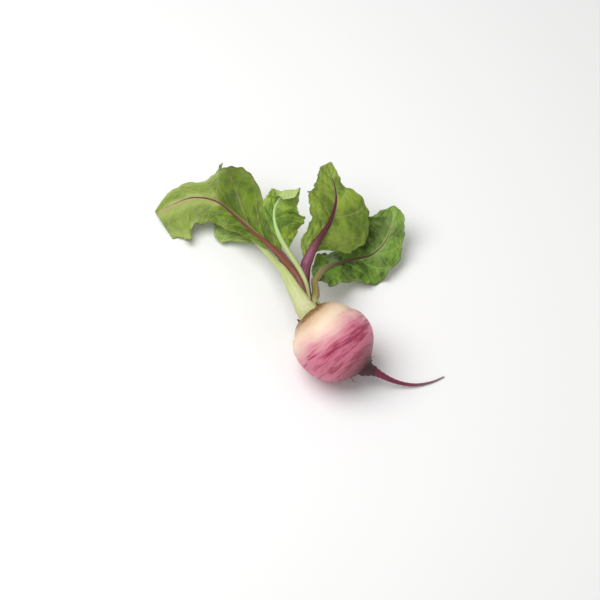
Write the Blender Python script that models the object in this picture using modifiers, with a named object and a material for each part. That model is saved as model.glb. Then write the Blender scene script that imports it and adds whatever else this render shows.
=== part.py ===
"""Turnip with its leaf stalks and leaves, lying on its side on a flat surface."""
import math

import bmesh
import bpy
import numpy as np
from mathutils import Matrix, Vector

MM = 0.001

# root: a globe on a slanting axis, crown end up, tail end down
BULB_R = 30.0
FLAT_CUT = 0.4                      # the globe is flattened by this much where it rests
AXIS = Vector((0.777, -0.515, -0.361)).normalized()
CROWN_AXIS = Vector((0.656, -0.618, -0.433)).normalized()   # square to the crown face, pointing into the globe
FACE_FRONT = Vector((0, -0.574, 0.819))                     # lies in the crown face
BEND_FROM, BEND_TO = 4.0, -20.0     # the root's axis turns to the crown's between these places along it
CROWN_S = -28.0                     # where the axis meets the flat crown face
CENTRE = Vector((0.0, 0.0, BULB_R - FLAT_CUT))
ROOT_RINGS = 52
ROOT_SIDES = 40                     # coarser sides would miss the flat spot
# half profile of the globe: distance along the axis and radius; the tail's way points follow it
PROFILE = [(-28, 10.7), (-26.6, 13.9), (-24, 18), (-20, 22.4), (-15, 26), (-9, 28.6), (-3, 29.9), (3, 29.9),
           (9, 28.6), (15, 26), (20, 22.2), (24, 17.2), (27, 12.2), (29.4, 8.4), (31.8, 6)]
TAIL = [(29, -16.4, 15.6), (35, -17.8, 12.2), (44, -19.8, 7.4), (54, -20.7, 3.8), (64, -19.8, 1.9),
        (74, -16.8, 1.2), (83, -12, 1.0)]
TAIL_R = [4.1, 2.6, 1.8, 1.35, 1.0, 0.7, 0.4]

BLADE_THICK = 0.7
RIB_GAP = 0.85                      # between a blade and the rib below it
RIB_END, RIB_TAPER = 0.9, 0.8       # where the rib stops along the blade, and how much it thins
CROWN_GAP = 0.4                     # between the crown face and what stands on it
FOOT_LENGTH = 4.0                   # a stalk leaves the crown face over this length before it bends away
BLADE_ROWS, BLADE_COLUMNS = 28, 8
STALK_RINGS, RIB_RINGS = 16, 13
CROWN_PIECE_RINGS = 9
# margin waves: flat near the rib, lower where the blade is narrow, unevenly spaced
WAVE_POWER, WAVE_FULL_WIDTH = 2.2, 12.0
WAVE_SHIFT, WAVE_DRIFT, DRIFT_RATE = 0.8, 1.2, 10.7

# one entry per leaf, in millimetres and degrees
#   base: place on the crown face   stalk: way points   rad, deep: half width and flatness from the foot on
#   midrib: points along the blade
#   left, right: (half width, lift) from the foot of the blade to its tip
#   curl: droop of each half from midrib to margin   wave, waves: height and number of the margin's waves
#   thin: how soon the rib thins
LEAVES = {
    "leaf_1": dict(
        base=(-1, -0.8), stalk=[(-22, 29.3, 44), (-24.1, 39.7, 44), (-27.9, 49.6, 44), (-33.2, 59.4, 43)],
        rad=[3.3, 3.4, 3.8, 4, 3.9, 3.7, 3.2], deep=[0.55, 0.6, 0.7, 0.8, 0.9, 1, 1],
        midrib=[(-39.3, 73.3, 38), (-48.3, 87.9, 31.5), (-59.3, 102.6, 25.5), (-73, 122, 20), (-84, 135, 18),
                (-95, 142, 16), (-109, 146, 11.5), (-124, 143, 6), (-135, 137, 3)],
        left=[(1, 20), (4, 10), (8, 0), (13, -10), (18, -15), (24, -10), (35, -6), (36, -2), (25, 0)],
        right=[(1, 30), (20, 60), (30, 64), (49, 79), (44, 86), (18, 40), (13, 12), (10, 6), (3, 0)],
        curl=(30, 25), wave=2.2, waves=5, thin=1.6, stem="red_stalk"),
    "leaf_2": dict(
        base=(0, 5.2), stalk=[(-25.6, 25.4, 49.1), (-30.4, 35, 50.5), (-35, 46.4, 48.8), (-39.1, 57.2, 44),
               (-44.5, 70, 35.5)],
        rad=[7.4, 7.3, 6.3, 4.9, 3.7, 3, 2.6, 2.3], deep=[0.36, 0.36, 0.45, 0.6, 0.75, 0.9, 1, 1],
        midrib=[(-53, 89.5, 24.5), (-60.5, 104, 15.8), (-69, 115, 11.5), (-76, 123, 7.5), (-84, 130, 4.2),
                (-90, 134, 2.6)],
        left=[(1, 0), (4, -20), (10, -24), (17, -12), (12, -6), (1, 0)],
        right=[(1, 0), (4, 0), (9, 0), (12, 0), (8, 0), (1, 0)],
        curl=(20, 20), wave=1.0, waves=3, thin=1.5, stem="green_stalk"),
    "leaf_3": dict(
        base=(4.5, 0.6), stalk=[(-18.5, 29, 48), (-20.5, 37.3, 52.5), (-25.1, 47.6, 55), (-29.9, 55.5, 57)],
        rad=[1.2, 1.2, 1.2, 1.5, 1.8, 2, 1.9], deep=[1, 1, 1, 1, 1, 1, 1],
        midrib=[(-35.3, 65, 58), (-40.3, 74, 61), (-44, 84, 64), (-44.5, 95, 66), (-41, 103, 69),
                (-37, 107, 74), (-35, 104, 78), (-34, 97, 78)],
        left=[(1, 10), (2, 10), (5, 20), (9, 20), (10, 20), (9, 10), (8, 10), (4, 0)],
        right=[(2, -20), (18, -44), (24, -32), (23, -14), (16, 6), (13, 12), (10, 8), (5, 0)],
        side=(1, 0.2, 0.15), curl=(20, 20), wave=1.5, waves=4, thin=1, stem="green_stalk"),
    "leaf_4": dict(
        base=(8.7, -1.8), stalk=[(-13.4, 34, 43.6)],
        rad=[2.7, 2.8, 2.9, 2.6], deep=[0.9, 0.95, 1, 1],
        midrib=[(-14.4, 46.6, 42.6), (-6.5, 63, 35), (1.5, 73.3, 27), (9.5, 81.9, 18), (19, 89, 12),
                (28, 93, 10), (37, 99, 14), (42, 107, 17), (45, 115, 22), (46, 122, 26), (46, 127, 28)],
        left=[(1, 0), (11, -12), (14, -4), (14, 0), (13, 0), (15, 8), (19, 14), (24, 22), (20, 26), (11, 18),
              (1, 0)],
        right=[(1, -30), (14, -42), (14.5, -37), (16.5, -29), (22, -22), (21, -16), (17, -11), (12, -10),
               (10, 0), (7, 0), (1, 0)],
        curl=(20, 20), wave=2.8, waves=6, thin=2, stem="red_stalk"),
    "leaf_5": dict(
        base=(-0.5, -6.8), stalk=[(-20.1, 35.4, 34), (-22, 46.8, 35), (-22, 55.8, 38)],
        rad=[3.8, 3.9, 4, 4.2, 4.2, 4.1], deep=[0.5, 0.6, 0.85, 1, 1, 1],
        midrib=[(-20.5, 63.2, 42), (-15.7, 74.1, 45), (-10.3, 83.6, 47), (-4, 94, 48), (0, 108, 46),
                (2, 120, 46), (1, 130, 48), (-1, 138, 49), (-2, 145, 50), (-2, 152, 50)],
        left=[(1, 10), (10, 20), (12, 25), (15, 25), (22, 28), (24, 28), (18, 25), (13, 25), (9, 20), (1, 0)],
        right=[(1, -10), (4, -30), (16, -48), (31, -50), (35, -42), (25, -18), (9, -12), (6, -10), (4, 0),
               (1, 0)],
        curl=(20, 30), wave=1.8, waves=5, thin=2.2, stem="purple_stalk"),
}

# small pieces on the crown face: place, length, lean towards the back right, radii
YOUNG_LEAVES = {
    "young_leaf_1": dict(base=(5.4, -6.2), length=5, lean=0, rad=[1.1, 1.2, 1.1, 0.8, 0.3]),
    "young_leaf_2": dict(base=(-5.6, -3.7), length=9, lean=2, rad=[1.0, 1.1, 1.0, 0.7, 0.3]),
}
OLD_BASES = {
    "old_base_1": dict(base=(-9.1, 0.4), length=2.2, lean=-0.4, rad=[1.9, 1.7, 1.3, 0.8, 0.3]),
    "old_base_2": dict(base=(-6.4, -7), length=4, lean=-1, rad=[1.4, 1.3, 1.1, 0.7, 0.3]),
    "old_base_3": dict(base=(8.7, 3.8), length=3, lean=1, rad=[1.2, 1.2, 1.0, 0.6, 0.3]),
    "old_base_4": dict(base=(4.4, -8.6), length=3.5, lean=0.6, rad=[1.1, 1.1, 0.9, 0.6, 0.3]),
}
# fine side roots: place on the globe given as distance along the axis and angle about it
ROOTLETS = {
    "side_rootlet_1": dict(s=25.5, angle=95, length=6, bend=(0.2, -0.3, 0.5)),
    "side_rootlet_2": dict(s=27.5, angle=-20, length=4, bend=(0.5, 0.3, 0.4)),
    "side_rootlet_3": dict(s=26.5, angle=215, length=6, bend=(0.4, -0.2, 0.6)),
}
ROOTLET_R = [0.5, 0.46, 0.42, 0.38, 0.34, 0.28, 0.2]
ROOTLET_GAP = 0.7

COLOURS = {
    "root_skin": ((0.72, 0.36, 0.38), 0.38), "red_stalk": ((0.30, 0.11, 0.08), 0.45),
    "purple_stalk": ((0.20, 0.03, 0.07), 0.42), "green_stalk": ((0.46, 0.54, 0.22), 0.45),
    "leaf_blade": ((0.20, 0.33, 0.06), 0.5), "young_leaf": ((0.36, 0.48, 0.14), 0.5),
    "old_base": ((0.12, 0.06, 0.025), 0.75), "rootlet": ((0.20, 0.07, 0.08), 0.7),
}


def through(rows, t):
    """Smooth run through evenly spaced rows of numbers."""
    rows = np.asarray(rows, float)
    n = len(rows)
    ends = np.vstack([2 * rows[0] - rows[1], rows, 2 * rows[-1] - rows[-2]])
    x = np.clip(t, 0, 1) * (n - 1)
    i = np.clip(np.floor(x).astype(int), 0, n - 2)
    f = (x - i)[:, None]
    a, b, c, d = ends[i], ends[i + 1], ends[i + 2], ends[i + 3]
    return b + 0.5 * f * (c - a + f * (2 * a - 5 * b + 4 * c - d + f * (3 * (b - c) + d - a)))


def unit(v):
    return v / np.linalg.norm(v, axis=1, keepdims=True)


def midribFrame(leaf, t):
    """Place, right-hand direction and upper direction along the midrib."""
    m = through(leaf["midrib"], t)
    before, after = np.maximum(t - 0.001, 0), np.minimum(t + 0.001, 1)
    g = unit(through(leaf["midrib"], after) - through(leaf["midrib"], before))
    if "side" in leaf:
        side = np.array(leaf["side"])
        s = unit(side - (g @ side)[:, None] * g)
    else:
        s = unit(np.cross(g, [0, 0, 1.0]))
    return m, s, np.cross(s, g)


def bladePoint(leaf, t, q):
    """Blade surface: t runs foot to tip, q from the left margin (-1) to the right margin (1)."""
    m, s, n = midribFrame(leaf, t)
    left = q < 0
    v = np.abs(q)
    half = np.where(left[:, None], through(leaf["left"], t), through(leaf["right"], t))
    width = np.maximum(half[:, 0], 0.3)
    lift = np.radians(half[:, 1])
    curl = np.radians(np.where(left, leaf["curl"][0], leaf["curl"][1]))
    sign = np.where(left, -1.0, 1.0)
    start = lift + curl / 2
    across = sign * width * (np.sin(start) - np.sin(start - curl * v)) / curl
    up = width * (np.cos(start - curl * v) - np.cos(start)) / curl
    phase = 2 * np.pi * leaf["waves"] * t + WAVE_DRIFT * np.sin(DRIFT_RATE * t)
    phase = phase + np.where(left, 0, WAVE_SHIFT)
    ripple = leaf["wave"] * v ** WAVE_POWER * np.sin(phase) * np.minimum(1, width / WAVE_FULL_WIDTH)
    normal = (-sign * np.sin(lift))[:, None] * s + np.cos(lift)[:, None] * n
    return m + across[:, None] * s + up[:, None] * n + ripple[:, None] * normal


def underBlade(leaf, t, radius):
    """Centre line of the rib that runs below the blade, clear of both halves."""
    m, s, n = midribFrame(leaf, t)
    a = np.pi - np.radians(through(leaf["left"], t)[:, 1] + leaf["curl"][0] / 2)
    b = 2 * np.pi + np.radians(through(leaf["right"], t)[:, 1] + leaf["curl"][1] / 2)
    mid, half = (a + b) / 2, np.minimum((b - a) / 2, np.pi / 2)
    off = (radius + BLADE_THICK / 2 + RIB_GAP) / np.sin(half)
    return m + (off * np.cos(mid))[:, None] * s + (off * np.sin(mid))[:, None] * n


def axisAt(s):
    """Direction of the root's axis at a place along it."""
    x = min(max((BEND_FROM - s) / (BEND_FROM - BEND_TO), 0), 1)
    return AXIS.lerp(CROWN_AXIS, x * x * (3 - 2 * x)).normalized()


def acrossFace():
    return (-CROWN_AXIS).cross(FACE_FRONT).normalized()


def onCrown(x, y, height):
    """Point over the crown face: x across it to the upper right, y towards its front, height out of it."""
    return CENTRE + CROWN_AXIS * (CROWN_S - height) + acrossFace() * x + FACE_FRONT * y


def collect(name):
    box = bpy.data.collections.new(name)
    bpy.context.scene.collection.children.link(box)
    return box


def material(slot):
    colour, rough = COLOURS[slot]
    mat = bpy.data.materials.get(slot) or bpy.data.materials.new(slot)
    mat.use_nodes = True
    shader = mat.node_tree.nodes["Principled BSDF"]
    shader.inputs["Base Color"].default_value = (*colour, 1)
    shader.inputs["Roughness"].default_value = rough
    shader.inputs["Metallic"].default_value = 0
    mat.diffuse_color = (*colour, 1)
    return mat


def addObject(name, mesh, slot, box):
    for polygon in mesh.polygons:
        polygon.use_smooth = True
    mesh.materials.clear()
    mesh.materials.append(material(slot))
    ob = bpy.data.objects.new(name, mesh)
    box.objects.link(ob)
    return ob


def tube(name, points, radii, slot, box, sides=8, deep=None, aside=None):
    """Closed body along a run of points: an oval ring at each, whose long half width runs aside."""
    points, radii = np.array(points, float), np.array(radii, float)
    deep = np.ones(len(points)) if deep is None else np.array(deep)
    g = unit(np.gradient(points, axis=0))
    aside = np.cross(g, [0, 0, 1.0]) if aside is None else aside
    s = unit(aside - (g * aside).sum(1, keepdims=True) * g)
    n = np.cross(s, g)
    a = np.arange(sides) * 2 * np.pi / sides
    wide = radii[:, None] * np.cos(a)
    high = (radii * deep)[:, None] * np.sin(a)
    rings = points[:, None] + wide[..., None] * s[:, None] + high[..., None] * n[:, None]
    i, j = np.meshgrid(np.arange(len(points) - 1) * sides, np.arange(sides), indexing="ij")
    k = (j + 1) % sides
    walls = np.stack([i + j, i + sides + j, i + sides + k, i + k], -1).reshape(-1, 4)
    last = (len(points) - 1) * sides
    caps = [list(range(sides)), list(range(last, last + sides))]
    mesh = bpy.data.meshes.new(name)
    mesh.from_pydata((rings.reshape(-1, 3) * MM).tolist(), [], walls.tolist() + caps)
    bm = bmesh.new()
    bm.from_mesh(mesh)
    bmesh.ops.recalc_face_normals(bm, faces=bm.faces)
    bm.to_mesh(mesh)
    bm.free()
    return addObject(name, mesh, slot, box)


def addRoot(box, cutters):
    globe = np.array([[*(CENTRE + axisAt(s) * s), r] for s, r in PROFILE])
    tail = np.array([[*place, r] for place, r in zip(TAIL, TAIL_R)])
    rows = through(np.vstack([globe, tail]), np.linspace(0, 1, ROOT_RINGS))
    root = tube("root", rows[:, :3], rows[:, 3], "root_skin", box, sides=ROOT_SIDES)
    bm = bmesh.new()
    size = 3 * BULB_R * MM
    bmesh.ops.create_cube(bm, size=size, matrix=Matrix.Translation((0, 0, -size / 2)))
    mesh = bpy.data.meshes.new("floor_cut")
    bm.to_mesh(mesh)
    bm.free()
    cutter = bpy.data.objects.new("floor_cut", mesh)
    cutter.hide_render = True
    cutter.display_type = "WIRE"
    cutters.objects.link(cutter)
    cut = root.modifiers.new("flat_spot", "BOOLEAN")
    cut.operation = "DIFFERENCE"
    cut.solver = "EXACT"
    cut.object = cutter


def addLeaf(name, leaf, box):
    x, y = leaf["base"]
    foot = onCrown(x, y, CROWN_GAP + leaf["rad"][0] * leaf["deep"][0] / 2)
    first = Vector(leaf["stalk"][0])
    turn = ((first - foot).normalized() - CROWN_AXIS).normalized()
    way = [foot, foot + turn * FOOT_LENGTH] + [Vector(p) for p in leaf["stalk"]]
    ribT = np.linspace(0, RIB_END, RIB_RINGS)
    ribR = leaf["rad"][-1] * (1 - RIB_TAPER * ribT) ** leaf["thin"]
    rib = underBlade(leaf, ribT, ribR)
    rows = [[*place, r, d] for place, r, d in zip(way, leaf["rad"], leaf["deep"])] + [[*rib[0], ribR[0], 1]]
    lower = through(rows, np.linspace(0, 1, STALK_RINGS))
    points = np.vstack([lower[:, :3], rib[1:]])
    radii = np.concatenate([lower[:, 3], ribR[1:]])
    deep = np.concatenate([lower[:, 4], np.ones(RIB_RINGS - 1)])
    # oval feet lie along the crown face, and higher up the rings turn level
    share = np.clip(1 - np.arange(len(points)) / STALK_RINGS, 0, 1)[:, None]
    level = np.cross(unit(np.gradient(points, axis=0)), [0, 0, 1.0])
    aside = share * np.array(acrossFace()) + (1 - share) * np.array(leaf.get("side", level))
    tube(name + "_stalk", points, radii, leaf["stem"], box, deep=deep, aside=aside)

    bm = bmesh.new()
    bmesh.ops.create_grid(bm, x_segments=BLADE_ROWS, y_segments=BLADE_COLUMNS, size=1)
    grid = np.array([v.co for v in bm.verts])
    placed = bladePoint(leaf, (grid[:, 0] + 1) / 2, grid[:, 1]) * MM
    for vert, place in zip(bm.verts, placed):
        vert.co = place
    mesh = bpy.data.meshes.new(name + "_blade")
    bm.to_mesh(mesh)
    bm.free()
    blade = addObject(name + "_blade", mesh, "leaf_blade", box)
    thick = blade.modifiers.new("thickness", "SOLIDIFY")
    thick.thickness = BLADE_THICK * MM
    thick.offset = 0


def addCrownPiece(name, piece, slot, box):
    x, y = piece["base"]
    t = np.linspace(0, 1, CROWN_PIECE_RINGS)
    points = [onCrown(x + piece["lean"] * h * h, y, CROWN_GAP + piece["length"] * h) for h in t]
    tube(name, points, through(np.array(piece["rad"])[:, None], t)[:, 0], slot, box)


def addRootlet(name, piece, box):
    right = Vector((0, 0, 1)).cross(AXIS).normalized()
    out = Matrix.Rotation(math.radians(piece["angle"]), 3, AXIS) @ right
    profile = np.array(PROFILE, float)
    radius = np.interp(piece["s"], profile[:, 0], profile[:, 1])
    slope = np.interp(piece["s"] + 1, profile[:, 0], profile[:, 1]) - radius
    grow = (out - AXIS * slope).normalized()
    start = CENTRE + AXIS * piece["s"] + out * radius + grow * ROOTLET_GAP
    t = np.linspace(0, 1, len(ROOTLET_R))
    bend = Vector(piece["bend"])
    points = [start + grow * piece["length"] * h + bend * piece["length"] * h * h for h in t]
    tube(name, points, ROOTLET_R, "rootlet", box, sides=6)


for old in list(bpy.data.objects):
    bpy.data.objects.remove(old)
turnip = collect("turnip")
cutters = collect("cutters")
addRoot(turnip, cutters)
for leafName, leafShape in LEAVES.items():
    addLeaf(leafName, leafShape, turnip)
for pieceName, pieceShape in YOUNG_LEAVES.items():
    addCrownPiece(pieceName, pieceShape, "young_leaf", turnip)
for pieceName, pieceShape in OLD_BASES.items():
    addCrownPiece(pieceName, pieceShape, "old_base", turnip)
for pieceName, pieceShape in ROOTLETS.items():
    addRootlet(pieceName, pieceShape, turnip)
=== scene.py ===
import math

import bpy
import numpy as np
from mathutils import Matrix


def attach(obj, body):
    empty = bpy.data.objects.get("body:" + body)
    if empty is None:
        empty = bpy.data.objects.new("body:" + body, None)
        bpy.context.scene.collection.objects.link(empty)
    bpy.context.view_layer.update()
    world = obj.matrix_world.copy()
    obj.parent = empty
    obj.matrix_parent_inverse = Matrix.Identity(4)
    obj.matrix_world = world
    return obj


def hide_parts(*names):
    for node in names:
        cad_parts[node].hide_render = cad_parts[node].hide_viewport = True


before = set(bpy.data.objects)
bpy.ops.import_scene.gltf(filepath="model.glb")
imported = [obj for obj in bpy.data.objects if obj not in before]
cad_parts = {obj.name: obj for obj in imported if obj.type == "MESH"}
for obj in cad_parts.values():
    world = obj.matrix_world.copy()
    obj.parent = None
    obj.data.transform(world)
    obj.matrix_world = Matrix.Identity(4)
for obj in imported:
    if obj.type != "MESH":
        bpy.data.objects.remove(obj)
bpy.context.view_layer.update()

mm = 0.001


studio = {
    "aim": (-25.2, 25.4, 47.9),          # what the camera looks at, in mm
    "elevation": 55, "distance": 4200, "lens": 337,
    "key": {"place": (-420, 60, 900), "size": 900, "power": 8.2},
    "fill": {"place": (650, -350, 500), "size": 700, "power": 0.6},
    "sky": 0.42, "floor": (0.93, 0.93, 0.925), "floorSize": 6.0,
}


def pointAt(thing, place, aim):
    thing.location = place
    line = np.array(aim) - np.array(place)
    lean = math.atan2(math.hypot(line[0], line[1]), -line[2])
    thing.rotation_euler = (lean, 0, math.atan2(-line[0], line[1]))


def addStudio(look):
    scene = bpy.context.scene
    aim = np.array(look["aim"]) * mm
    tilt = math.radians(look["elevation"])
    back = np.array([0, -math.cos(tilt), math.sin(tilt)])
    eye = bpy.data.objects.new("camera", bpy.data.cameras.new("camera"))
    eye.data.lens = look["lens"]
    eye.data.clip_end = 30
    pointAt(eye, aim + back * look["distance"] * mm, aim)
    scene.collection.objects.link(eye)
    scene.camera = eye
    for name in ("key", "fill"):
        lamp = bpy.data.lights.new(name, "AREA")
        lamp.shape = "DISK"
        lamp.size = look[name]["size"] * mm
        lamp.energy = look[name]["power"]
        holder = bpy.data.objects.new(name, lamp)
        pointAt(holder, np.array(look[name]["place"]) * mm, aim)
        scene.collection.objects.link(holder)
    sky = bpy.data.worlds.new("sky")
    sky.use_nodes = True
    sky.node_tree.nodes["Background"].inputs["Color"].default_value = (1, 1, 1, 1)
    sky.node_tree.nodes["Background"].inputs["Strength"].default_value = look["sky"]
    scene.world = sky
    scene.view_settings.view_transform = "Standard"
    half = look["floorSize"] / 2
    mesh = bpy.data.meshes.new("floor")
    corners = [(-half, -half, 0), (half, -half, 0), (half, half, 0), (-half, half, 0)]
    mesh.from_pydata(corners, [], [(0, 1, 2, 3)])
    floor = bpy.data.objects.new("floor", mesh)
    paper = Finish("floor", roughness=0.9)
    paper.shader.inputs["Base Color"].default_value = (*look["floor"], 1)
    mesh.materials.append(paper.material)
    scene.collection.objects.link(floor)


# a number that varies over a surface, which can stand in sums like a plain number
class Wire:
    def __init__(self, finish, socket):
        self.finish = finish
        self.socket = socket

    def maths(self, kind, *values):
        return self.finish.node("Math", {"operation": kind}, dict(enumerate(values)))

    def __add__(self, other):
        return self.maths("ADD", self, other)

    def __sub__(self, other):
        return self.maths("SUBTRACT", self, other)

    def __rsub__(self, other):
        return self.maths("SUBTRACT", other, self)

    def __mul__(self, other):
        return self.maths("MULTIPLY", self, other)

    __radd__ = __add__
    __rmul__ = __mul__

    def __abs__(self):
        return self.maths("ABSOLUTE", self)

    def most(self, other):
        return self.maths("MAXIMUM", self, other)

    def part(self):
        return self.maths("FRACT", self)

    def rise(self, low, high):
        # 0 below low, 1 above high, a smooth step between; falls instead if low is above high
        if low > high:
            return 1 - self.rise(high, low)
        settings = {"interpolation_type": "SMOOTHSTEP"}
        return self.finish.node("MapRange", settings, {"Value": self, "From Min": low, "From Max": high})


# a material being put together
class Finish:
    def __init__(self, name, **constants):
        self.material = bpy.data.materials.new(name)
        self.material.use_nodes = True
        self.tree = self.material.node_tree
        self.shader = self.tree.nodes["Principled BSDF"]
        for socket, value in constants.items():
            self.shader.inputs[socket.replace("_", " ").title().replace("Ior", "IOR")].default_value = value

    def join(self, value, socket):
        if isinstance(value, Wire):
            self.tree.links.new(value.socket, socket)
        else:
            socket.default_value = value

    def node(self, kind, settings, values, output=0):
        # any node: its type, its settings, the values or wires of its sockets
        made = self.tree.nodes.new("ShaderNode" + kind)
        for key, value in settings.items():
            setattr(made, key, value)
        for key, value in values.items():
            self.join(value, made.inputs[key])
        return Wire(self, made.outputs[output])

    def place(self):        # object coordinates in millimetres
        spot = self.node("TexCoord", {}, {}, "Object")
        return self.scaled(spot, 1 / mm)

    def value(self, name):
        return self.node("Attribute", {"attribute_name": name}, {}, "Fac")

    def vector(self, kind, *values, output=0):
        return self.node("VectorMath", {"operation": kind}, dict(enumerate(values)), output)

    def scaled(self, vector, amount):
        return self.node("VectorMath", {"operation": "SCALE"}, {0: vector, "Scale": amount})

    def dot(self, a, b):
        return self.vector("DOT_PRODUCT", a, b, output="Value")

    def noise(self, where, scale, detail=3.0, roughness=0.5):
        values = {"Vector": where, "Scale": scale, "Detail": detail, "Roughness": roughness}
        return self.node("TexNoise", {}, values)

    def cells(self, where, scale, feature="DISTANCE_TO_EDGE"):
        return self.node("TexVoronoi", {"feature": feature}, {"Vector": where, "Scale": scale})

    def blend(self, amount, first, second):        # first colour where amount is 0, second where it is 1
        return self.node("Mix", {"data_type": "RGBA"}, {"Factor": amount, 6: first, 7: second}, 2)

    def tinted(self, colour, strength):        # lighter or darker by a number around 1
        return self.scaled(colour, strength)

    def bump(self, height, distance, strength=1.0):        # relief of a given depth in millimetres
        made = self.node("Bump", {}, {"Height": height, "Distance": distance * mm, "Strength": strength})
        self.join(made, self.shader.inputs["Normal"])

    def send(self, **wires):
        for socket, value in wires.items():
            self.join(value, self.shader.inputs[socket.replace("_", " ").title()])


def paint(red, green, blue):
    # a colour given as it looks on screen, 0 to 255
    seen = np.array([red, green, blue]) / 255
    linear = np.where(seen <= 0.04045, seen / 12.92, ((seen + 0.055) / 1.055) ** 2.4)
    return (*linear.tolist(), 1.0)


def through(rows, t):
    # a Catmull-Rom curve through evenly spaced rows of numbers, t from 0 to 1
    rows = np.asarray(rows, float)
    n = len(rows)
    ends = np.vstack([2 * rows[0] - rows[1], rows, 2 * rows[-1] - rows[-2]])
    x = np.clip(t, 0, 1) * (n - 1)
    i = np.clip(np.floor(x).astype(int), 0, n - 2)
    f = (x - i)[:, None]
    a, b, c, d = ends[i], ends[i + 1], ends[i + 2], ends[i + 3]
    return b + 0.5 * f * (c - a + f * (2 * a - 5 * b + 4 * c - d + f * (3 * (b - c) + d - a)))


def unit(v):
    return v / np.maximum(np.linalg.norm(v, axis=-1, keepdims=True), 1e-9)


def smooth(x, low, high):
    # 0 below low, 1 above high, 3x^2 - 2x^3 between
    x = np.clip((x - low) / (high - low), 0, 1)
    return x * x * (3 - 2 * x)


def ringsAlong(points, radii, around, aside=None, deep=1):
    # rings carried along a path: centre + r (cos a right + deep sin a up)
    # right is level, or made from aside
    a = np.linspace(0, 2 * np.pi, around, endpoint=False)
    g = unit(np.gradient(points, axis=0))
    aside = np.cross(g, [0, 0, 1.0]) if aside is None else aside
    s = unit(aside - (g * aside).sum(1, keepdims=True) * g)
    n = np.cross(s, g) * np.reshape(deep, (-1, 1))
    r = np.broadcast_to(radii if np.ndim(radii) == 2 else np.asarray(radii)[:, None], (len(points), around))
    turned = np.cos(a)[:, None] * s[:, None] + np.sin(a)[:, None] * n[:, None]
    return points[:, None] + r[..., None] * turned


def closedSkin(rings):
    # points and faces of a closed surface through rings of points, each end closed at a pole
    n, m = rings.shape[:2]
    points = np.vstack([rings.reshape(-1, 3), rings[0].mean(0), rings[-1].mean(0)])
    i, j = np.meshgrid(np.arange(n - 1), np.arange(m), indexing="ij")
    k = (j + 1) % m
    quads = np.stack([i * m + j, (i + 1) * m + j, (i + 1) * m + k, i * m + k], -1).reshape(-1, 4)
    j = np.arange(m)
    k = (j + 1) % m
    first = np.stack([np.full(m, n * m), j, k], -1)
    last = np.stack([np.full(m, n * m + 1), (n - 1) * m + k, (n - 1) * m + j], -1)
    return points, quads.tolist() + first.tolist() + last.tolist()


def addPiece(name, skins, material, node, values):
    # one object from one or more closed skins, with a number per point for each name in values
    points, faces, start = [], [], 0
    for rings in skins:
        p, f = closedSkin(rings)
        faces += [[v + start for v in face] for face in f]
        points.append(p)
        start += len(p)
    mesh = bpy.data.meshes.new(name)
    mesh.from_pydata((np.vstack(points) * mm).tolist(), [], faces)
    for key, grids in values.items():
        flat = np.concatenate([np.concatenate([g.ravel(), [g[0].mean(), g[-1].mean()]]) for g in grids])
        mesh.attributes.new(key, "FLOAT", "POINT").data.foreach_set("value", flat.astype(np.float32))
    mesh.shade_smooth()
    mesh.materials.append(material)
    piece = bpy.data.objects.new(name, mesh)
    bpy.context.scene.collection.objects.link(piece)
    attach(piece, "root")
    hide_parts(node)


# a globe on a slanting axis with a crown face at one end and a tail at the other
root = {
    "radius": 30.0, "flatCut": 0.4, "axis": (0.777, -0.515, -0.361),
    # the axis turns to the crown's own between these places along it
    "crownAxis": (0.656, -0.618, -0.433), "bend": (4.0, -20.0),
    # distance along the axis and radius, from the crown's middle to the foot of the tail
    "profile": [(-30.6, 0.3), (-30.2, 4.2), (-29.4, 7.6), (-28.3, 10.2), (-26.6, 13.9), (-24, 18),
                (-20, 22.4), (-15, 26), (-9, 28.6), (-3, 29.9), (3, 29.9), (9, 28.6), (15, 26),
                (20, 22.2), (24, 17.2),
                (27, 12.2), (29.4, 8.4), (31.8, 6)],
    "tail": [(29, -16.4, 15.6), (35, -17.8, 12.2), (44, -19.8, 7.4), (54, -20.7, 3.8), (64, -19.8, 1.9),
             (74, -16.8, 1.2), (83, -12, 1.0)],
    "tailRadius": [4.1, 2.6, 1.8, 1.35, 1.0, 0.7, 0.4],
    "rings": 340, "around": 150, "lump": 0.30, "crease": 0.07, "tailKnots": 0.06,
}


def rootAxis():
    return np.array(root["axis"]) / np.linalg.norm(root["axis"])


def crownAxis():
    return np.array(root["crownAxis"]) / np.linalg.norm(root["crownAxis"])


def axisAt(s):
    w = smooth(s, *root["bend"])
    return unit(rootAxis() * (1 - w) + crownAxis() * w)


def rootCentre():
    return np.array([0, 0, root["radius"] - root["flatCut"]])


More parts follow.
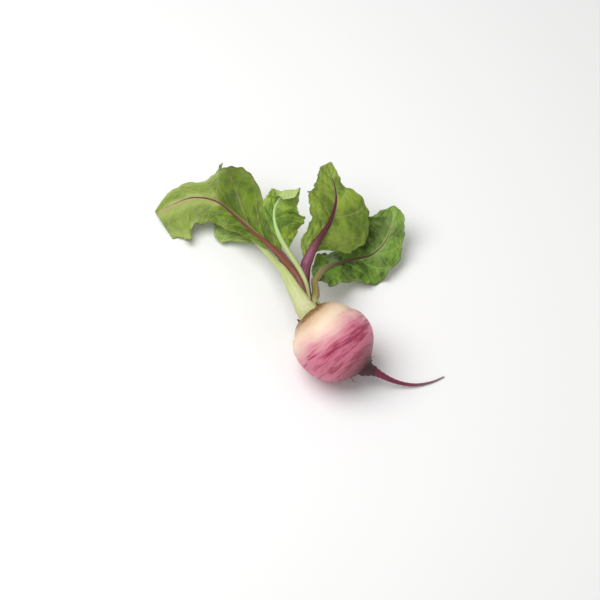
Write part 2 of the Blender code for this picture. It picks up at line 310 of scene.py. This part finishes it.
def addRoot(shape, finish):
    axis, centre = rootAxis(), rootCentre()
    globe = np.array([[*(centre + axisAt(s) * s), r] for s, r in shape["profile"]])
    tail = np.array([[*p, r] for p, r in zip(shape["tail"], shape["tailRadius"])])
    rows = np.vstack([globe, tail])
    t = np.linspace(0, 1, shape["rings"])
    run = through(rows, t)
    along = (run[:, :3] - centre) @ axis
    a = np.linspace(0, 2 * np.pi, shape["around"], endpoint=False)[None]
    s = along[:, None]
    onGlobe = smooth(s, 31, 22)
    # broad lumps, fine creases that run round the axis at both ends, and knots down the tail
    lump = np.sin(2 * a + 0.11 * s + 0.6) + 0.6 * np.sin(3 * a - 0.16 * s + 2.1)
    lump = lump + 0.4 * np.sin(5 * a + 0.07 * s)
    crease = np.sin(2.9 * s + 0.8 * np.sin(2 * a) + 1.3 * np.sin(0.9 * s)) * np.sin(3 * a + 0.7 * s)
    ends = smooth(s, -18, -27) + 0.3 * smooth(s, 14, 27)
    knots = np.sin(1.7 * s + 2 * np.sin(a)) + 0.7 * np.sin(4.1 * s + 3 * a)
    scars = np.cos(9 * a + 1.1 * s) * smooth(s, -22, -27) * smooth(s, -30.4, -28.5)
    radius = run[:, 3:] + onGlobe * shape["lump"] * lump * smooth(s, -29, -22) * smooth(s, 31, 24)
    radius = radius + shape["crease"] * crease * ends * onGlobe + 0.45 * scars
    radius = radius * (1 + shape["tailKnots"] * knots * smooth(s, 27, 34) * smooth(t[:, None], 1.0, 0.9))
    rings = ringsAlong(run[:, :3], np.maximum(radius, 0.12), shape["around"])
    rings[..., 2] = np.maximum(rings[..., 2], 0)        # the flat spot it rests on
    tailPart = np.broadcast_to(t[:, None], rings.shape[:2])
    addPiece("root_skin", [rings], finish, "root", {"length": [tailPart]})


rootLook = {
    "bandAxis": (0.60, -0.66, -0.45),           # the bands of colour lie a little off the root's own axis
    # tan on the next line is painted shade for the rim on the crown side
    "cream": paint(240, 214, 186), "tan": paint(182, 138, 92), "blush": paint(226, 160, 168),
    # the last colour on the next line is painted shade for the tail side of the bulb
    "pink": paint(216, 118, 144), "deep": paint(156, 26, 70), "tailSideShade": paint(124, 50, 58),
    "collar": paint(120, 84, 40), "foot": paint(66, 26, 32),
    "tail": paint(122, 34, 66), "tip": paint(120, 104, 100),
}


def rootFinish(look):
    skin = Finish("turnip_skin", roughness=0.4, coat_roughness=0.3)
    centre = tuple(rootCentre().tolist())
    at = skin.vector("SUBTRACT", skin.place(), centre)
    axis = tuple(rootAxis().tolist())
    band = np.array(look["bandAxis"]) / np.linalg.norm(look["bandAxis"])
    band = tuple(band.tolist())
    along = skin.dot(at, axis)
    across = skin.dot(at, band)
    outward = skin.vector("NORMALIZE", skin.vector("SUBTRACT", at, skin.scaled(band, across)))

    def streaks(fine, round_, detail=3.0):
        # noise drawn out round the band axis: fine across the bands, slow along them
        where = skin.vector("ADD", skin.scaled(outward, round_), skin.scaled(band, across * fine))
        return skin.noise(where, 1.0, detail, 0.55)

    broad = skin.noise(at, 0.045, 2.0)
    wide, narrow, hair = streaks(0.16, 1.1), streaks(0.45, 1.7), streaks(1.5, 2.6, 4.0)
    mottle = skin.noise(at, 0.5, 4.0, 0.6)
    reach = across + 3 + (broad - 0.5) * 16 + (wide - 0.5) * 14
    crownward = skin.dot(at, tuple(crownAxis().tolist()))
    # painted shade: the crown end is painted tan, darkening the rim on that side
    colour = skin.blend((crownward + (wide - 0.5) * 6).rise(-16, -27) * 0.8, look["cream"], look["tan"])
    colour = skin.blend(reach.rise(-17, -3) * 0.85, colour, look["blush"])
    colour = skin.blend((reach + (narrow - 0.5) * 14).rise(-8, 5), colour, look["pink"])
    dark = (narrow * 0.6 + wide * 0.4 + (hair - 0.5) * 0.35).rise(0.46, 0.62)
    colour = skin.blend(dark * reach.rise(-6, 4) * 0.92, colour, look["deep"])
    # painted shade: darker towards the tail side of the bulb, its right edge and underside facing away from
    # the light
    colour = skin.blend(along.rise(15, 26) * 0.8, colour, look["tailSideShade"])
    length = skin.value("length")
    colour = skin.blend((along + (mottle - 0.5) * 6).rise(24, 31), colour, look["foot"])
    colour = skin.blend(length.rise(0.735, 0.79), colour, look["tail"])
    colour = skin.blend(length.rise(0.86, 0.98) * 0.85, colour, look["tip"])
    colour = skin.blend((crownward + (mottle - 0.5) * 5).rise(-24.0, -27.5), colour, look["collar"])
    fleck = skin.cells(at, 0.35, "F1").rise(0.16, 0.05) * skin.noise(at, 0.12).rise(0.5, 0.62)
    tone = 1 + (mottle - 0.5) * 0.16 + (hair - 0.5) * 0.14 - fleck * 0.12
    dull = 0.44 + (mottle - 0.5) * 0.16 + along.rise(20, 32) * 0.15
    skin.send(Base_Color=skin.tinted(colour, tone), Roughness=dull)
    skin.bump(hair * 0.5 + mottle * 0.35 - fleck * 0.3, 0.25, 0.6)
    skin.shader.inputs["Coat Weight"].default_value = 0.06
    return skin.material


faceFront = np.array([0, -0.574, 0.819])        # lies in the crown face


def acrossFace():
    return unit(np.cross(-crownAxis(), faceFront))


def onCrown(x, y, height):
    # over the crown face: x across it to the upper right, y towards its front, height out of it
    return rootCentre() + crownAxis() * (-28.0 - height) + acrossFace() * x + faceFront * y


leafRules = {
    "rows": 230, "columns": 92, "crowd": 0.35, "thickness": 0.42, "rim": 10, "endRound": 60,
    "footSink": 2.2, "footLength": 4.0, "stalkRings": 120, "ribRings": 150, "stalkAround": 40,
    "ribEnd": 0.97, "ribTaper": 0.86, "footHeight": 0.4, "crinkle": 0.45,
}


def midribFrame(leaf, t):
    # place, right-hand direction and upper direction along the midrib
    m = through(leaf["midrib"], t)
    ahead, behind = np.minimum(t + 0.001, 1), np.maximum(t - 0.001, 0)
    g = unit(through(leaf["midrib"], ahead) - through(leaf["midrib"], behind))
    if "side" in leaf:
        side = np.array(leaf["side"])
        s = unit(side - (g @ side)[:, None] * g)
    else:
        s = unit(np.cross(g, [0, 0, 1.0]))
    return m, s, np.cross(s, g)


def bladeSurface(leaf, t, q):
    # middle surface of a blade over t (foot to tip) and q (left margin -1 to right margin 1)
    # each half is an arc of its own width and lift that droops by its curl
    # plus waves that grow as v^2.2 towards the margin, and frills as v^5 on the margin itself
    # plus |sin| bulges between the side veins, and crinkles as products of two sines
    m, s, n = (x[:, None] for x in midribFrame(leaf, t))
    left = q < 0
    v = np.abs(q)[None]
    leftHalf, rightHalf = through(leaf["left"], t)[:, None], through(leaf["right"], t)[:, None]
    half = np.where(left[None, :, None], leftHalf, rightHalf)
    u = t[:, None]
    turn = np.where(left, 0, 0.8)[None]
    teeth = 1 + leaf["teeth"] * v ** 6 * (np.sin(2 * np.pi * leaf["lobes"] * u + 3 * turn)
                                           + 0.5 * np.sin(2 * np.pi * 2.7 * leaf["lobes"] * u + turn))
    width = np.maximum(half[..., 0], 0.3) * teeth
    lift = np.radians(half[..., 1])
    curl = np.radians(np.where(left, leaf["curl"][0], leaf["curl"][1]))[None]
    sign = np.where(left, -1.0, 1.0)[None]
    start = lift + curl / 2
    across = sign * width * (np.sin(start) - np.sin(start - curl * v)) / curl
    up = width * (np.cos(start - curl * v) - np.cos(start)) / curl
    room = np.minimum(1, width / 12)
    phase = 2 * np.pi * leaf["waves"] * u + turn + 1.2 * np.sin(10.7 * u)
    lay = leaf["wave"] * v ** 2.2 * np.sin(phase) * room
    lay = lay + leaf["frill"] * v ** 5 * np.sin(2.7 * phase + 4 * turn + 5 * u) * room
    veinPhase = (u - leaf["sweep"] * v * (1 - 0.25 * v)) * leaf["veins"] + turn
    crinkle = np.sin(2 * np.pi * (7 * u + 1.3 * q)) * np.sin(2 * np.pi * (2.2 * v + 5 * u))
    fine = np.sin(2 * np.pi * (13 * u - 3.1 * q) + 1) * np.sin(2 * np.pi * (4.1 * v + 8 * u))
    crinkle = crinkle + 0.6 * fine
    lay = lay + leafRules["crinkle"] * crinkle * np.sqrt(v) * room
    swell = (np.abs(np.sin(np.pi * veinPhase)) - 0.6) * np.sin(np.pi * v)
    lay = lay + leaf["bulge"] * swell * room
    normal = (-sign * np.sin(lift))[..., None] * s + np.cos(lift)[..., None] * n
    return m + across[..., None] * s + up[..., None] * n + lay[..., None] * normal


def addBlade(name, leaf, finish):
    rule = leafRules
    t = np.linspace(0, 1, rule["rows"])
    even = np.linspace(-1, 1, rule["columns"])
    # columns crowd towards the margins
    q = np.sin(even * np.pi / 2) * rule["crowd"] + even * (1 - rule["crowd"])
    middle = bladeSurface(leaf, t, q)
    face = unit(np.cross(np.gradient(middle, axis=1), np.gradient(middle, axis=0)))
    half = rule["thickness"] / 2 * (1 - np.abs(q) ** rule["rim"])[None, :, None] ** 0.5
    ends = np.sqrt(np.clip(1 - np.abs(2 * t - 1) ** rule["endRound"], 0, 1))[:, None, None]
    top, under = middle + face * half * ends, middle - face * half * ends
    rings = np.concatenate([top[:, ::-1], under[:, 1:-1]], 1)
    rings[..., 2] = np.maximum(rings[..., 2], 0.05)
    shape = rings.shape[:2]
    lengthwise = np.broadcast_to(t[:, None], shape)
    sideways = np.broadcast_to(np.concatenate([q[::-1], q[1:-1]])[None], shape)
    below = np.broadcast_to(np.concatenate([q * 0, q[1:-1] * 0 + 1])[None], shape)
    addPiece(name + "_blade_skin", [rings], finish, name + "_blade",
             {"lengthwise": [lengthwise], "sideways": [sideways], "below": [below]})


def addStalk(name, leaf, finish):
    # from the crown to the blade's foot, then the rib along the blade, as one ribbed tube
    rule = leafRules
    x, y = leaf["base"]
    foot = onCrown(x, y, rule["footHeight"] + leaf["rad"][0] * leaf["deep"][0] / 2)
    turn = unit(unit(np.array(leaf["stalk"][0]) - foot) - crownAxis())
    way = [foot - turn * rule["footSink"], foot + turn * rule["footLength"]]
    way += [np.array(p) for p in leaf["stalk"]]
    ribT = np.linspace(0, rule["ribEnd"], rule["ribRings"])
    ribR = leaf["rad"][-1] * (1 - rule["ribTaper"] * ribT) ** leaf["thin"]
    rib = through(leaf["midrib"], ribT)
    rows = [[*p, r, d] for p, r, d in zip(way, leaf["rad"], leaf["deep"])] + [[*rib[0], ribR[0], 1]]
    lower = through(rows, np.linspace(0, 1, rule["stalkRings"]))
    points = np.vstack([lower[:, :3], rib[1:]])
    radius = np.concatenate([lower[:, 3], ribR[1:]])
    deep = np.concatenate([lower[:, 4], np.ones(len(rib) - 1)])
    # oval feet lie along the crown face, and higher up the rings turn level
    share = np.clip(1 - np.arange(len(points)) / rule["stalkRings"], 0, 1)[:, None]
    level = np.cross(unit(np.gradient(points, axis=0)), [0, 0, 1.0])
    aside = share * acrossFace() + (1 - share) * np.array(leaf.get("side", level))
    c = np.linspace(0, 2 * np.pi, rule["stalkAround"], endpoint=False)[None]
    along = np.linspace(0, 1, len(points))[:, None]
    flare = 1 + 0.06 * smooth(along, 0.10, 0.0)
    groove = 0.16 * np.exp(-((c - np.pi / 2) / 0.5) ** 2)
    ribs = 1 + 0.035 * np.cos(9 * c + 2 * along) + 0.02 * np.sin(17 * c) - groove
    wobble = 1 + 0.03 * np.sin(23 * along + 2) + 0.02 * np.sin(57 * along + c)
    rings = ringsAlong(points, radius[:, None] * ribs * wobble * flare, rule["stalkAround"], aside, deep)
    rings[..., 2] = np.maximum(rings[..., 2], 0.05)
    shape = rings.shape[:2]
    ribStart = rule["stalkRings"] / len(points)
    addPiece(name + "_stalk_skin", [rings], finish, name + "_stalk",
             {"lengthwise": [np.broadcast_to(along, shape)], "around": [np.broadcast_to(np.sin(c), shape)],
              "rib": [np.broadcast_to(smooth(along, ribStart - 0.05, ribStart + 0.1), shape)]})


def stalkFinish(name, look):
    # colour from crown to tip with long streaks along it, paler ridges and a darker groove, and a painted
    # highlight: the upper side painted lighter
    skin = Finish(name, roughness=0.42)
    at = skin.place()
    lengthwise, around, rib = skin.value("lengthwise"), skin.value("around"), skin.value("rib")
    where = skin.node("CombineXYZ", {}, {0: lengthwise * 5, 1: around * 6, 2: rib * 0.5})
    streak = skin.noise(where, 1.6, 4.0, 0.6)
    mottle = skin.noise(at, 0.35, 4.0, 0.6)
    fromFoot = (lengthwise + (streak - 0.5) * 0.1).rise(0.02, look["turn"])
    # painted highlight: the upper side of the stalk is painted lighter, where light from above falls
    upper = (around + (streak - 0.5) * 0.8).rise(0.0, 0.8)
    colour = skin.blend(fromFoot, look["foot"], look["stem"])
    colour = skin.blend(upper * look["topAmount"], colour, look["top"])
    colour = skin.blend(streak.rise(0.5, 0.72) * 0.6, colour, look["streak"])
    colour = skin.blend(rib * lengthwise.rise(look["ribFrom"], look["ribTo"]), colour, look["rib"])
    tone = 1 + (mottle - 0.5) * 0.3
    skin.send(Base_Color=skin.tinted(colour, tone), Roughness=0.4 + (mottle - 0.5) * 0.25)
    skin.bump(streak + mottle * 0.4, 0.3, 0.6)
    return skin.material


def bladeFinish(name, look, leaf):
    # leaf green with a pale midrib band, a fine net of veins and a paler underside
    # side veins sweep to the margin where (length - sweep v (1 - v / 4)) veins is whole
    skin = Finish(name, specular_ior_level=0.3)
    at = skin.place()
    u, q, below = skin.value("lengthwise"), skin.value("sideways"), skin.value("below")
    v = abs(q)
    turn = q.rise(-0.001, 0.001) * 0.8
    mottle = skin.noise(at, 0.16, 4.0, 0.6)
    cloud = skin.noise(at, 0.05, 2.0)
    phase = (u - leaf["sweep"] * v * (1 - v * 0.25)) * leaf["veins"] + turn + (mottle - 0.5) * 0.10
    apart = abs((phase + 0.5).part() - 0.5)                 # 0 on a side vein, 0.5 midway
    side = (apart + v * 0.02).rise(0.075, 0.015) * v.rise(1.0, 0.7)
    minor = abs((phase * 3 + v * 4 + 0.5).part() - 0.5).rise(0.12, 0.03) * v.rise(1.0, 0.8) * v.rise(0.1, 0.3)
    net = skin.cells(at, 0.42).rise(0.07, 0.01)
    middle = v.rise(look["band"], look["band"] * 0.3)
    colour = skin.blend((cloud + (mottle - 0.5) * 0.5).rise(0.36, 0.64), look["dark"], look["green"])
    inner = v.rise(0.15, 0.4) * v.rise(0.95, 0.65)      # the green stays stronger midway to the margin
    # painted light: past paleRun along its length the blade is painted paler, where it lies in the light
    paintedLight = u.rise(*look["paleRun"]) * look["paleAmount"] * (1 - inner * 0.6)
    colour = skin.blend(paintedLight, colour, look["pale"])
    colour = skin.blend(v.rise(0.80, 1.0) * 0.35, colour, look["pale"])
    colour = skin.blend(v.rise(0.955, 1.0) * 0.75, colour, look["rim"])
    vein = (side * 0.5).most(minor * 0.2).most(net * 0.16).most(middle * 0.85)
    colour = skin.blend(vein, colour, look["vein"])
    # painted shadow: darker along the left side of the midrib, towards the stalk, where the midrib shades the
    # blade
    crease = q.rise(-0.16, -0.03) * q.rise(0.01, -0.01) * u.rise(0.6, 0.4)
    colour = skin.blend(crease * 0.7, colour, look["rim"])
    colour = skin.blend(below * 0.75, colour, look["under"])
    tone = 1 + (mottle - 0.5) * 0.35
    skin.send(Base_Color=skin.tinted(colour, tone), Roughness=0.44 + (mottle - 0.5) * 0.2 + below * 0.15)
    lay = apart.rise(0.0, 0.4) * 0.6 + mottle * 0.5 - side * 0.3 - net * 0.12
    skin.bump(lay, 0.5, 0.7)
    return skin.material


leaves = {
    "leaf_1": {
        "base": (-1, -0.8),
        "stalk": [(-22, 29.3, 44), (-24.1, 39.7, 44), (-27.9, 49.6, 44), (-33.2, 59.4, 43)],
        "rad": [3.3, 3.4, 3.8, 4, 3.9, 3.7, 3.2], "deep": [0.55, 0.6, 0.7, 0.8, 0.9, 1, 1],
        "midrib": [(-39.3, 73.3, 38), (-48.3, 87.9, 31.5), (-59.3, 102.6, 25.5), (-73, 122, 20),
                   (-84, 135, 18), (-95, 142, 16), (-109, 146, 11.5), (-124, 143, 6), (-135, 137, 3)],
        "left": [(1, 20), (4, 10), (8, 0), (13, -10), (18, -15), (24, -10), (35, -6), (36, -2), (25, 0)],
        "right": [(1, 30), (20, 60), (30, 64), (49, 79), (44, 86), (18, 40), (13, 12), (10, 6), (3, 0)],
        "curl": (30, 25), "wave": 2.2, "waves": 5, "thin": 1.6, "frill": 0.5, "lobes": 9, "teeth": 0.025,
        "veins": 8, "sweep": 0.22, "bulge": 0.9, "stem": "red_stalk",
        "blade": {"green": paint(108, 136, 22), "dark": paint(76, 106, 12), "pale": paint(158, 178, 92),
                  "paleRun": (0.48, 0.56), "paleAmount": 0.9, "vein": paint(176, 160, 114), "band": 0.14,
                  "under": paint(160, 180, 104), "rim": paint(96, 88, 44)},
        "stalkLook": {"foot": paint(146, 110, 84), "stem": paint(118, 58, 46), "turn": 0.12,
                      "top": paint(142, 88, 70), "topAmount": 0.5, "streak": paint(86, 36, 32),
                      "rib": paint(92, 58, 40), "ribFrom": 0.5, "ribTo": 0.75}},
    "leaf_2": {
        "base": (0, 5.2),
        "stalk": [(-25.6, 25.4, 49.1), (-30.4, 35, 50.5), (-35, 46.4, 48.8), (-39.1, 57.2, 44),
                  (-44.5, 70, 35.5)],
        "rad": [7.4, 7.3, 6.3, 4.9, 3.7, 3, 2.6, 2.3], "deep": [0.36, 0.36, 0.45, 0.6, 0.75, 0.9, 1, 1],
        "midrib": [(-53, 89.5, 24.5), (-60.5, 104, 15.8), (-69, 115, 11.5), (-76, 123, 7.5), (-84, 130, 4.2),
                   (-90, 134, 2.6)],
        "left": [(1, 0), (4, -20), (10, -24), (17, -12), (12, -6), (1, 0)],
        "right": [(1, 0), (4, 0), (9, 0), (12, 0), (8, 0), (1, 0)],
        "curl": (20, 20), "wave": 1.0, "waves": 3, "thin": 1.5, "frill": 0.4, "lobes": 6, "teeth": 0.03,
        "veins": 6, "sweep": 0.3, "bulge": 0.7, "stem": "green_stalk",
        "blade": {"green": paint(160, 182, 100), "dark": paint(126, 156, 62), "pale": paint(176, 196, 120),
                  "paleRun": (0.5, 1.0), "paleAmount": 0.4, "vein": paint(196, 206, 146), "band": 0.12,
                  "under": paint(170, 190, 116), "rim": paint(130, 130, 70)},
        "stalkLook": {"foot": paint(196, 182, 138), "stem": paint(176, 190, 112), "turn": 0.3,
                      "top": paint(192, 202, 138), "topAmount": 0.6, "streak": paint(142, 164, 80),
                      "rib": paint(190, 196, 130), "ribFrom": 0.5, "ribTo": 0.8}},
    "leaf_3": {
        "base": (4.5, 0.6),
        "stalk": [(-18.5, 29, 48), (-20.5, 37.3, 52.5), (-25.1, 47.6, 55), (-29.9, 55.5, 57)],
        "rad": [1.2, 1.2, 1.2, 1.5, 1.8, 2, 1.9], "deep": [1, 1, 1, 1, 1, 1, 1],
        "midrib": [(-35.3, 65, 58), (-40.3, 74, 61), (-44, 84, 64), (-44.5, 95, 66), (-41, 103, 69),
                   (-37, 107, 74), (-35, 104, 78), (-34, 97, 78)],
        "left": [(1, 10), (2, 10), (5, 20), (9, 20), (10, 20), (9, 10), (8, 10), (4, 0)],
        "right": [(2, -20), (18, -44), (24, -32), (23, -14), (16, 6), (13, 12), (10, 8), (5, 0)],
        "side": (1, 0.2, 0.15), "curl": (20, 20), "wave": 1.5, "waves": 4, "thin": 1,
        "frill": 0.5, "lobes": 7, "teeth": 0.03, "veins": 7, "sweep": 0.25,
        "bulge": 0.8, "stem": "green_stalk",
        "blade": {"green": paint(146, 172, 56), "dark": paint(92, 124, 30), "pale": paint(160, 184, 96),
                  "paleRun": (0.5, 0.75), "paleAmount": 0.8, "vein": paint(160, 180, 100), "band": 0.10,
                  "under": paint(182, 200, 128), "rim": paint(84, 96, 40)},
        "stalkLook": {"foot": paint(140, 92, 80), "stem": paint(160, 172, 112), "turn": 0.4,
                      "top": paint(178, 196, 124), "topAmount": 0.7, "streak": paint(140, 106, 84),
                      "rib": paint(170, 200, 124), "ribFrom": 0.4, "ribTo": 0.6}},
    "leaf_4": {
        "base": (8.7, -1.8), "stalk": [(-13.4, 34, 43.6)],
        "rad": [2.7, 2.8, 2.9, 2.6], "deep": [0.9, 0.95, 1, 1],
        "midrib": [(-14.4, 46.6, 42.6), (-6.5, 63, 35), (1.5, 73.3, 27), (9.5, 81.9, 18), (19, 89, 12),
                   (28, 93, 10), (37, 99, 14), (42, 107, 17), (45, 115, 22), (46, 122, 26), (46, 127, 28)],
        "left": [(1, 0), (11, -12), (14, -4), (14, 0), (13, 0), (15, 8), (19, 14), (24, 22), (20, 26),
                 (11, 18), (1, 0)],
        "right": [(1, -30), (14, -42), (14.5, -37), (16.5, -29), (22, -22), (21, -16), (17, -11), (12, -10),
                  (10, 0), (7, 0), (1, 0)],
        "curl": (20, 20), "wave": 2.8, "waves": 6, "thin": 2, "frill": 1.3, "lobes": 8, "teeth": 0.04,
        "veins": 8, "sweep": 0.22, "bulge": 0.9, "stem": "red_stalk",
        "blade": {"green": paint(106, 144, 38), "dark": paint(52, 76, 16), "pale": paint(142, 174, 88),
                  "paleRun": (0.35, 0.9), "paleAmount": 0.6, "vein": paint(160, 178, 104), "band": 0.10,
                  "under": paint(150, 172, 100), "rim": paint(66, 74, 30)},
        "stalkLook": {"foot": paint(176, 176, 110), "stem": paint(132, 116, 66), "turn": 0.3,
                      "top": paint(150, 140, 80), "topAmount": 0.6, "streak": paint(96, 66, 44),
                      "rib": paint(84, 66, 40), "ribFrom": 0.4, "ribTo": 0.6}},
    "leaf_5": {
        "base": (-0.5, -6.8), "stalk": [(-20.1, 35.4, 34), (-22, 46.8, 35), (-22, 55.8, 38)],
        "rad": [3.8, 3.9, 4, 4.2, 4.2, 4.1], "deep": [0.5, 0.6, 0.85, 1, 1, 1],
        "midrib": [(-20.5, 63.2, 42), (-15.7, 74.1, 45), (-10.3, 83.6, 47), (-4, 94, 48), (0, 108, 46),
                   (2, 120, 46), (1, 130, 48), (-1, 138, 49), (-2, 145, 50), (-2, 152, 50)],
        "left": [(1, 10), (10, 20), (12, 25), (15, 25), (22, 28), (24, 28), (18, 25), (13, 25), (9, 20),
                 (1, 0)],
        "right": [(1, -10), (4, -30), (16, -48), (31, -50), (35, -42), (25, -18), (9, -12), (6, -10), (4, 0),
                  (1, 0)],
        "curl": (20, 30), "wave": 1.8, "waves": 5, "thin": 2.2, "frill": 0.6, "lobes": 9, "teeth": 0.03,
        "veins": 8, "sweep": 0.22, "bulge": 0.9, "stem": "purple_stalk",
        "blade": {"green": paint(134, 160, 50), "dark": paint(94, 122, 28), "pale": paint(138, 160, 70),
                  "paleRun": (0.55, 0.9), "paleAmount": 0.4, "vein": paint(166, 158, 110), "band": 0.10,
                  "under": paint(160, 180, 104), "rim": paint(80, 86, 36)},
        "stalkLook": {"foot": paint(126, 60, 80), "stem": paint(118, 44, 72), "turn": 0.2,
                      "top": paint(150, 84, 104), "topAmount": 0.5, "streak": paint(74, 24, 36),
                      "rib": paint(84, 30, 34), "ribFrom": 0.45, "ribTo": 0.6}},
}


crownPieces = {
    "young_leaf_1": {"base": (5.4, -6.2), "length": 5, "lean": 0,
                     "rad": [1.1, 1.2, 1.1, 0.8, 0.3], "fold": 0.35},
    "young_leaf_2": {"base": (-5.6, -3.7), "length": 9, "lean": 2,
                     "rad": [1.0, 1.1, 1.0, 0.7, 0.3], "fold": 0.35},
    "old_base_1": {"base": (-9.1, 0.4), "length": 2.2, "lean": -0.4,
                     "rad": [1.9, 1.7, 1.3, 0.8, 0.3], "fold": 0.2},
    "old_base_2": {"base": (-6.4, -7), "length": 4, "lean": -1,
                     "rad": [1.4, 1.3, 1.1, 0.7, 0.3], "fold": 0.2},
    "old_base_3": {"base": (8.7, 3.8), "length": 3, "lean": 1,
                     "rad": [1.2, 1.2, 1.0, 0.6, 0.3], "fold": 0.2},
    "old_base_4": {"base": (4.4, -8.6), "length": 3.5, "lean": 0.6,
                     "rad": [1.1, 1.1, 0.9, 0.6, 0.3], "fold": 0.2},
}


crownRules = {"rings": 60, "around": 36, "sunk": 1.5, "overlap": 1.9}


def addCrownPiece(name, piece, finish):
    # a tapering roll standing on the crown: r (1 + fold cos(2a + 3h)) in section, with a ragged, wavy surface
    x, y = piece["base"]
    rule = crownRules
    t = np.linspace(0, 1, rule["rings"])
    rise = piece["length"] + rule["overlap"]
    points = np.array([onCrown(x + piece["lean"] * h * h, y, rise * h - rule["sunk"]) for h in t])
    a = np.linspace(0, 2 * np.pi, rule["around"], endpoint=False)[None]
    radius = through(np.array(piece["rad"])[:, None], t)
    h = t[:, None]
    ragged = 0.08 * np.cos(7 * a + 9 * h) + 0.05 * np.sin(31 * h)
    radius = radius * (1 + piece["fold"] * np.cos(2 * a + 3 * h) + ragged)
    rings = ringsAlong(points, radius, rule["around"])
    lengthwise = np.broadcast_to(h, rings.shape[:2])
    addPiece(name + "_skin", [rings], finish, name, {"lengthwise": [lengthwise]})


dryLooks = {
    "young_leaf": {"low": paint(150, 120, 92), "high": paint(150, 176, 92), "streak": paint(120, 140, 70)},
    "old_base": {"low": paint(110, 76, 36), "high": paint(78, 50, 26), "streak": paint(48, 30, 18)},
    "rootlet": {"low": paint(96, 50, 52), "high": paint(150, 130, 120), "streak": paint(70, 40, 40)},
}


def dryFinish(name):
    # fibrous, from one colour at the foot to another at the end, with long darker streaks
    look = dryLooks[name]
    skin = Finish(name, roughness=0.6)
    at = skin.place()
    rough = skin.noise(at, 0.9, 4.0, 0.65)
    height = (skin.value("lengthwise") + (rough - 0.5) * 0.5).rise(0.2, 0.8)
    colour = skin.blend(height, look["low"], look["high"])
    colour = skin.blend(rough.rise(0.5, 0.7) * 0.7, colour, look["streak"])
    skin.send(Base_Color=colour, Roughness=0.5 + rough * 0.3)
    skin.bump(rough, 0.4, 0.8)
    return skin.material


rootlets = {
    "side_rootlet_1": {"s": 25.5, "angle": 95, "length": 6, "bend": (0.2, -0.3, 0.5)},
    "side_rootlet_2": {"s": 27.5, "angle": -20, "length": 4, "bend": (0.5, 0.3, 0.4)},
    "side_rootlet_3": {"s": 26.5, "angle": 215, "length": 6, "bend": (0.4, -0.2, 0.6)},
}
rootletRules = {
    "radius": [0.26, 0.21, 0.16, 0.11, 0.07], "rings": 40, "around": 12, "sunk": 0.6,
    # the branches: how far along each starts, their length and thickness against the main hair
    "starts": (0.35, 0.6), "branchLength": 0.3, "branchThick": 0.5, "branchAround": 8,
}


def addRootlet(name, piece, finish):
    # a fine side root and two thinner branches, each a wavering tapering hair
    rule = rootletRules
    thick = np.array(rule["radius"])[:, None]
    axis = rootAxis()
    right = unit(np.cross([0, 0, 1.0], axis))
    up = np.cross(right, -axis)
    angle = math.radians(piece["angle"])
    out = right * math.cos(angle) + np.cross(axis, right) * math.sin(angle)
    profile = np.array(root["profile"])
    radius = np.interp(piece["s"], profile[:, 0], profile[:, 1])
    slope = np.interp(piece["s"] + 1, profile[:, 0], profile[:, 1]) - radius
    grow = unit(out - axis * slope)
    start = rootCentre() + axis * piece["s"] + out * (radius - rule["sunk"])
    h = np.linspace(0, 1, rule["rings"])[:, None]
    waver = np.sin(9 * h) * up + np.cos(7 * h) * right
    main = start + piece["length"] * (grow * h + np.array(piece["bend"]) * h * h) + 0.35 * h * waver
    skins = [ringsAlong(main, through(thick, h[:, 0]), rule["around"])]
    branch = piece["length"] * rule["branchLength"]
    for share, lean in zip(rule["starts"], (right, up)):
        first = main[int(share * (rule["rings"] - 1))]
        line = first + branch * (unit(grow + 0.8 * lean) * h) + 0.2 * h * waver
        skins.append(ringsAlong(line, through(thick * rule["branchThick"], h[:, 0]), rule["branchAround"]))
    values = [np.broadcast_to(h, rings.shape[:2]) for rings in skins]
    addPiece(name + "_skin", skins, finish, name, {"lengthwise": values})


addStudio(studio)
print("studio ready")
addRoot(root, rootFinish(rootLook))
print("root made")
for leafName, leafShape in leaves.items():
    addStalk(leafName, leafShape, stalkFinish(leafName + "_stalk", leafShape["stalkLook"]))
    addBlade(leafName, leafShape, bladeFinish(leafName + "_blade", leafShape["blade"], leafShape))
    print(leafName, "made")
dry = {kind: dryFinish(kind) for kind in dryLooks}
for pieceName, pieceShape in crownPieces.items():
    kind = pieceName[:-2]        # the name without its number
    addCrownPiece(pieceName, pieceShape, dry[kind])
for pieceName, pieceShape in rootlets.items():
    addRootlet(pieceName, pieceShape, dry["rootlet"])
print("small pieces made")
